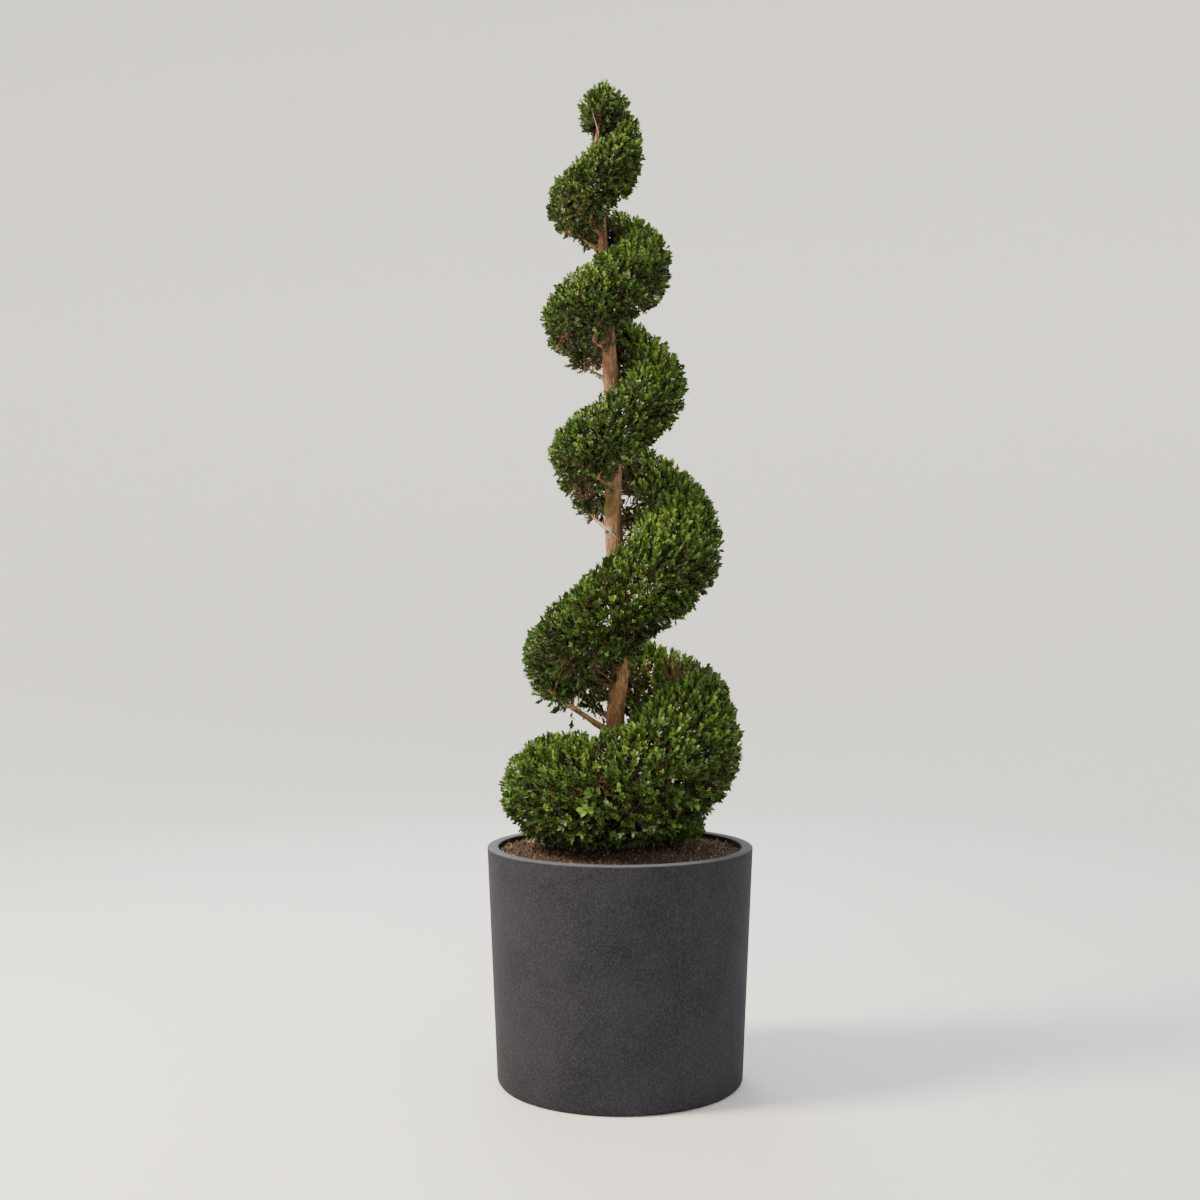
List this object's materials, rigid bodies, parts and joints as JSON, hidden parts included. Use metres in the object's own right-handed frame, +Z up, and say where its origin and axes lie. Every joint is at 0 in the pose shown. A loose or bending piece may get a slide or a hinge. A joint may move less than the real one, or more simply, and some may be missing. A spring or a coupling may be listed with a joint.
{
  "type": "potted spiral topiary",
  "caption": "Clipped evergreen trained as a rising spiral round one upright trunk, growing in a round tapered planter filled with soil.",
  "frame": {"origin": "centre of the planter's flat underside", "axes": "+Z up along the trunk; -Y is the side the plant is looked at from; +X is to its right"},
  "size_m": [0.5736, 0.5736, 2.1608],
  "materials": {
    "planter": "matte charcoal fibre-clay composite",
    "soil": "damp bark-based potting compost",
    "bark": "dry reddish-brown bark",
    "foliage": "small satin evergreen leaves"
  },
  "bodies": {
    "root": {"bough_04": "bark", "bough_05": "bark", "bough_05_side": "bark", "bough_06": "bark", "bough_07": "bark", "bough_08": "bark", "bough_09": "bark", "bough_10": "bark", "bough_11": "bark", "bough_12": "bark", "bough_13": "bark", "bough_14": "bark", "bough_14_side": "bark", "bough_15": "bark", "bough_16": "bark", "foliage_01": "foliage", "foliage_02": "foliage", "foliage_03": "foliage", "foliage_04": "foliage", "foliage_05": "foliage", "foliage_06": "foliage", "foliage_07": "foliage", "foliage_08": "foliage", "foliage_09": "foliage", "foliage_10": "foliage", "foliage_11": "foliage", "foliage_12": "foliage", "foliage_13": "foliage", "foliage_14": "foliage", "foliage_15": "foliage", "foliage_16": "foliage", "foliage_crown": "foliage", "planter": "planter", "soil": "soil", "trunk": "bark"}
  },
  "joints": []
}
